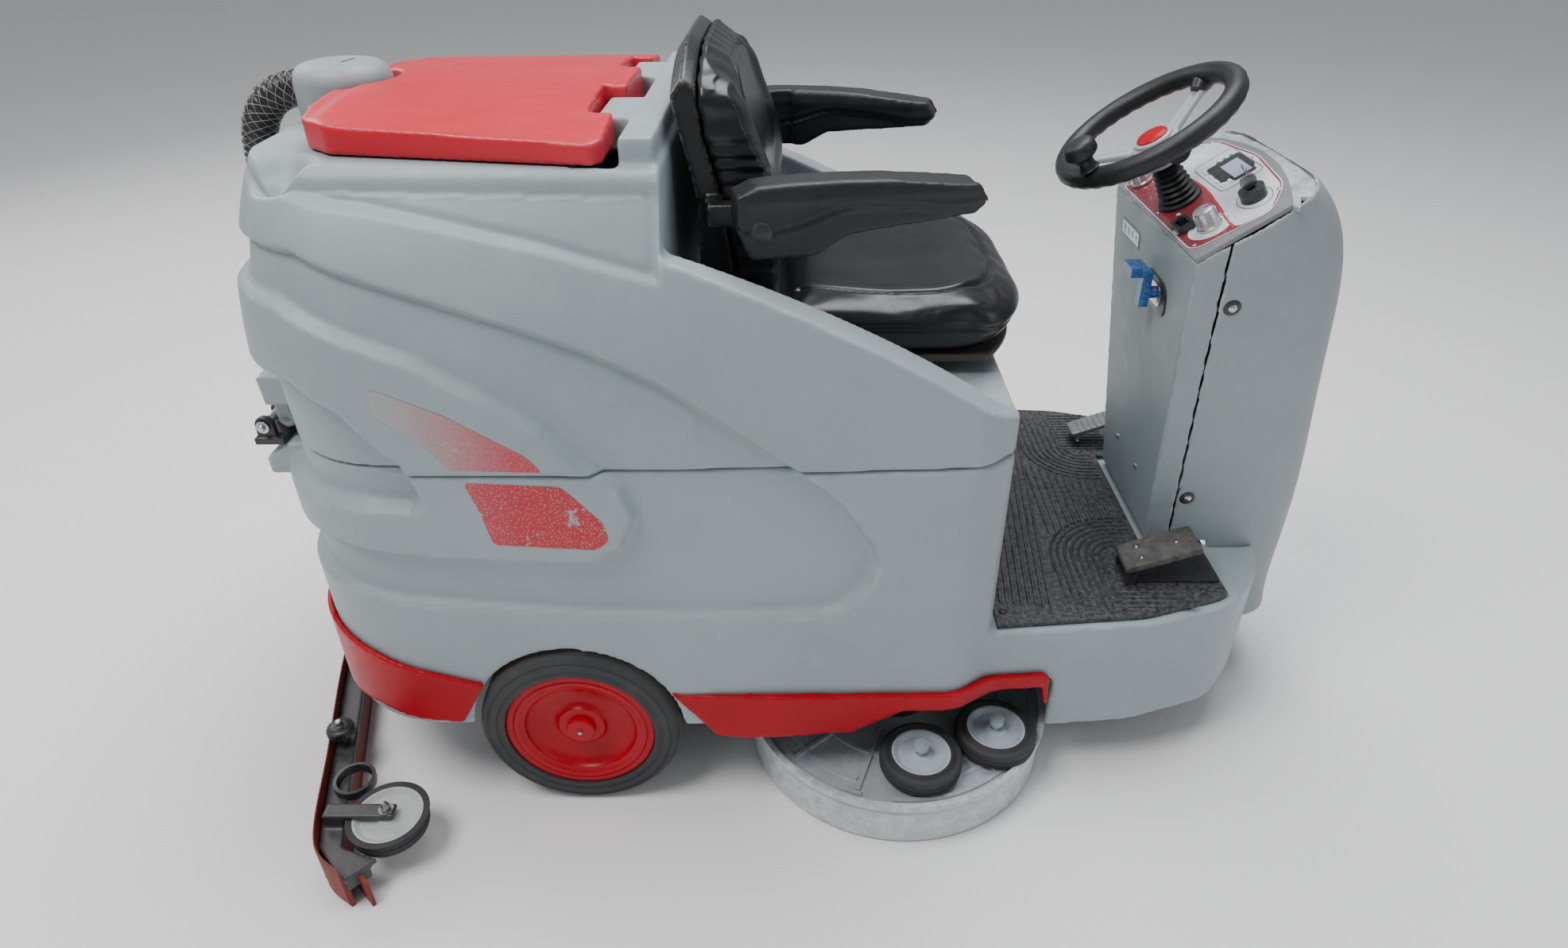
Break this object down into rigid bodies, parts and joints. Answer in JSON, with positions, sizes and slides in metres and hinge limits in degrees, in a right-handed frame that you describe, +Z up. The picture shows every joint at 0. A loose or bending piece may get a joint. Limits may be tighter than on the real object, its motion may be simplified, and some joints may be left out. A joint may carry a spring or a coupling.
{
  "type": "ride-on floor scrubber",
  "caption": "Battery ride-on floor scrubber with a tilting recovery tank and seat, a front steering column, a lifting disc-brush deck and a rear squeegee.",
  "frame": {"origin": "on the floor, under the middle of the machine's overall length and width", "axes": "+X forward (the way the machine drives), +Y to the driver's left, +Z up"},
  "size_m": [1.666, 1.184, 1.07],
  "materials": {
    "tank_grey": "moulded, lightly textured",
    "cover_grey": "moulded, lightly textured",
    "red_plastic": "satin moulded",
    "lid_red": "satin moulded, washed",
    "wheel_red": "satin moulded",
    "tyre": "worn tread",
    "frame_steel": "satin black",
    "bright_steel": "zinc plated",
    "hinge_black": "satin black",
    "battery_case": "moulded",
    "mat_rubber": "ribbed",
    "pedal_black": "gritty",
    "pedal_grey": "worn",
    "dash_panel": "printed overlay",
    "black_plastic": "satin",
    "soft_black": "soft touch",
    "seat_vinyl": "glossy vinyl",
    "seat_shell": "satin",
    "hose_black": "corrugated, netted",
    "spoke_grey": "satin",
    "deck_cast": "cast, dusty",
    "deck_skirt": "moulded",
    "motor_black": "satin black",
    "bristle": "nylon bristle",
    "roller_grey": "rubber on a plastic disc",
    "squeegee_body": "satin black",
    "blade_rubber": "brown-red rubber",
    "dial_silver": "satin",
    "key_steel": "worn",
    "button_red": "gloss",
    "tap_blue": "gloss"
  },
  "bodies": {
    "chassis": {"chassis_frame": "frame_steel", "solution_tank": "tank_grey", "rear_bumper": "red_plastic", "side_skirts": "red_plastic", "rear_axle": "bright_steel", "batteries": "battery_case", "footboard_mat": "mat_rubber", "pedal_tray": "black_plastic", "column_rear_panel": "cover_grey", "column_front_cover": "cover_grey", "column_bolts": "hinge_black", "dash_panel": "dash_panel", "dash_fittings": "black_plastic", "steering_boot": "soft_black", "tank_hinge_brackets": "hinge_black", "suction_hose": "hose_black"},
    "recovery_tank": {"recovery_tank": "tank_grey", "hinge_pins": "bright_steel", "hose_cap": "tank_grey", "suction_motor": "motor_black", "seat_rails": "frame_steel"},
    "lid": {"tank_lid": "lid_red"},
    "seat": {"seat_pan": "seat_shell", "seat_cushion": "seat_vinyl"},
    "backrest": {"backrest_shell": "seat_shell", "backrest_cushion": "seat_vinyl"},
    "armrest_right": {"armrest_right": "soft_black"},
    "armrest_left": {"armrest_left": "soft_black"},
    "steering_wheel": {"steering_rim": "soft_black", "steering_hub": "spoke_grey"},
    "spinner": {"spinner_knob": "soft_black"},
    "drive_fork": {"drive_unit": "frame_steel"},
    "drive_wheel": {"drive_wheel": "tyre"},
    "rear_wheel_right": {"rear_tyre_right": "tyre", "rear_disc_right": "wheel_red"},
    "rear_wheel_left": {"rear_tyre_left": "tyre", "rear_disc_left": "wheel_red"},
    "deck": {"deck_plate": "deck_cast", "deck_skirt": "deck_skirt", "brush_motors": "motor_black"},
    "brush_right": {"brush_right": "bristle"},
    "brush_left": {"brush_left": "bristle"},
    "squeegee_arm": {"squeegee_arm": "frame_steel"},
    "squeegee_carrier": {"squeegee_carrier": "frame_steel"},
    "squeegee": {"squeegee_body": "squeegee_body", "squeegee_blades": "blade_rubber"},
    "squeegee_roller_right": {"squeegee_roller_right": "roller_grey"},
    "squeegee_roller_left": {"squeegee_roller_left": "roller_grey"},
    "water_dial": {"water_dial": "dial_silver"},
    "speed_dial": {"speed_dial": "dial_silver"},
    "key": {"key": "key_steel"},
    "toggle": {"toggle_lever": "black_plastic"},
    "emergency_button": {"emergency_button": "button_red"},
    "tap_lever": {"tap_lever": "tap_blue"},
    "accelerator": {"accelerator_pedal": "pedal_black"},
    "brake": {"brake_pedal": "pedal_grey"},
    "deck_roller_rear_right": {"deck_roller_rear_right": "roller_grey"},
    "deck_roller_rear_left": {"deck_roller_rear_left": "roller_grey"},
    "deck_roller_front_right": {"deck_roller_front_right": "roller_grey"},
    "deck_roller_front_left": {"deck_roller_front_left": "roller_grey"}
  },
  "joints": [
    {"name": "tank_tilt", "type": "hinge", "parent": "chassis", "child": "recovery_tank", "pos_m": [-0.754, 0, 0.59], "axis": [0, -1, 0], "range_deg": [0, 60], "deforming": ["suction_hose"]},
    {"name": "lid_hinge", "type": "hinge", "parent": "recovery_tank", "child": "lid", "pos_m": [-0.242, 0, 0.982], "axis": [0, 1, 0], "range_deg": [0, 80]},
    {"name": "seat_slide", "type": "slide", "parent": "recovery_tank", "child": "seat", "axis": [1, 0, 0], "range_m": [0, 0.12]},
    {"name": "backrest_recline", "type": "hinge", "parent": "seat", "child": "backrest", "pos_m": [-0.072, 0, 0.716], "axis": [0, 1, 0], "range_deg": [0, 12]},
    {"name": "armrest_right_fold", "type": "hinge", "parent": "backrest", "child": "armrest_right", "pos_m": [-0.047, -0.281, 0.883], "axis": [0, -1, 0], "range_deg": [0, 85]},
    {"name": "armrest_left_fold", "type": "hinge", "parent": "backrest", "child": "armrest_left", "pos_m": [-0.047, 0.281, 0.883], "axis": [0, -1, 0], "range_deg": [0, 85]},
    {"name": "steering_turn", "type": "hinge", "parent": "chassis", "child": "steering_wheel", "pos_m": [0.49, 0, 0.931], "axis": [-0.5446, 0, 0.8387], "range_deg": [-210, 210]},
    {"name": "spinner_spin", "type": "hinge", "parent": "steering_wheel", "child": "spinner", "pos_m": [0.39716, -0.06766, 0.88978], "axis": [-0.5446, 0, 0.8387], "continuous": true},
    {"name": "drive_steer", "type": "hinge", "parent": "chassis", "child": "drive_fork", "pos_m": [0.611, 0, 0.27], "axis": [0, 0, 1], "range_deg": [-70, 70]},
    {"name": "drive_wheel_spin", "type": "hinge", "parent": "drive_fork", "child": "drive_wheel", "pos_m": [0.611, 0, 0.125], "axis": [0, 1, 0], "continuous": true},
    {"name": "rear_wheel_right_spin", "type": "hinge", "parent": "chassis", "child": "rear_wheel_right", "pos_m": [-0.334, -0.367, 0.15], "axis": [0, 1, 0], "continuous": true},
    {"name": "rear_wheel_left_spin", "type": "hinge", "parent": "chassis", "child": "rear_wheel_left", "pos_m": [-0.334, 0.367, 0.15], "axis": [0, 1, 0], "continuous": true},
    {"name": "deck_lift", "type": "slide", "parent": "chassis", "child": "deck", "axis": [0, 0, 1], "range_m": [0, 0.055]},
    {"name": "brush_right_spin", "type": "hinge", "parent": "deck", "child": "brush_right", "pos_m": [0.156, -0.245, 0.04], "axis": [0, 0, 1], "continuous": true},
    {"name": "brush_left_spin", "type": "hinge", "parent": "deck", "child": "brush_left", "pos_m": [0.156, 0.245, 0.04], "axis": [0, 0, 1], "continuous": true},
    {"name": "deck_roller_rear_right_spin", "type": "hinge", "parent": "deck", "child": "deck_roller_rear_right", "pos_m": [0.18, -0.404, 0.092], "axis": [0, 0, 1], "continuous": true},
    {"name": "deck_roller_rear_left_spin", "type": "hinge", "parent": "deck", "child": "deck_roller_rear_left", "pos_m": [0.18, 0.404, 0.092], "axis": [0, 0, 1], "continuous": true},
    {"name": "deck_roller_front_right_spin", "type": "hinge", "parent": "deck", "child": "deck_roller_front_right", "pos_m": [0.302, -0.354, 0.092], "axis": [0, 0, 1], "continuous": true},
    {"name": "deck_roller_front_left_spin", "type": "hinge", "parent": "deck", "child": "deck_roller_front_left", "pos_m": [0.302, 0.354, 0.092], "axis": [0, 0, 1], "continuous": true},
    {"name": "squeegee_lift", "type": "hinge", "parent": "chassis", "child": "squeegee_arm", "pos_m": [-0.564, 0, 0.19], "axis": [0, 1, 0], "range_deg": [0, 17]},
    {"name": "squeegee_level", "type": "hinge", "parent": "squeegee_arm", "child": "squeegee_carrier", "pos_m": [-0.739, 0, 0.122], "axis": [0, 1, 0], "range_deg": [-17, 0]},
    {"name": "squeegee_swing", "type": "hinge", "parent": "squeegee_carrier", "child": "squeegee", "pos_m": [-0.759, 0, 0.08], "axis": [0, 0, 1], "range_deg": [-10, 10]},
    {"name": "squeegee_roller_right_spin", "type": "hinge", "parent": "squeegee", "child": "squeegee_roller_right", "pos_m": [-0.61, -0.493, 0.061], "axis": [0, 0, 1], "continuous": true},
    {"name": "squeegee_roller_left_spin", "type": "hinge", "parent": "squeegee", "child": "squeegee_roller_left", "pos_m": [-0.61, 0.493, 0.061], "axis": [0, 0, 1], "continuous": true},
    {"name": "water_dial_turn", "type": "hinge", "parent": "chassis", "child": "water_dial", "pos_m": [0.55613, -0.122, 0.82744], "axis": [-0.5446, 0, 0.8387], "range_deg": [0, 270]},
    {"name": "speed_dial_turn", "type": "hinge", "parent": "chassis", "child": "speed_dial", "pos_m": [0.54271, 0.128, 0.81873], "axis": [-0.5446, 0, 0.8387], "range_deg": [0, 270]},
    {"name": "key_turn", "type": "hinge", "parent": "chassis", "child": "key", "pos_m": [0.61148, -0.112, 0.86339], "axis": [-0.5446, 0, 0.8387], "range_deg": [-80, 0]},
    {"name": "toggle_flip", "type": "hinge", "parent": "chassis", "child": "toggle", "pos_m": [0.53584, -0.086, 0.81462], "axis": [0, 1, 0], "range_deg": [-16, 16]},
    {"name": "emergency_press", "type": "slide", "parent": "chassis", "child": "emergency_button", "axis": [-0.5446, 0, 0.8387], "range_m": [-0.006, 0], "stiffness_N_per_m": 400},
    {"name": "tap_turn", "type": "hinge", "parent": "chassis", "child": "tap_lever", "pos_m": [0.53097, -0.05, 0.702], "axis": [1, 0, 0], "range_deg": [-90, 0]},
    {"name": "accelerator_press", "type": "hinge", "parent": "chassis", "child": "accelerator", "pos_m": [0.508, -0.216, 0.316], "axis": [0, 1, 0], "range_deg": [0, 14], "stiffness_Nm_per_rad": 8, "springref_deg": -8.59},
    {"name": "brake_press", "type": "hinge", "parent": "chassis", "child": "brake", "pos_m": [0.528, 0.196, 0.314], "axis": [0, 1, 0], "range_deg": [0, 14], "stiffness_Nm_per_rad": 8, "springref_deg": -8.59}
  ],
  "couplings": [
    {"joint": "drive_steer", "follows": "steering_turn", "ratio": 0.33333},
    {"joint": "squeegee_level", "follows": "squeegee_lift", "ratio": -1}
  ]
}
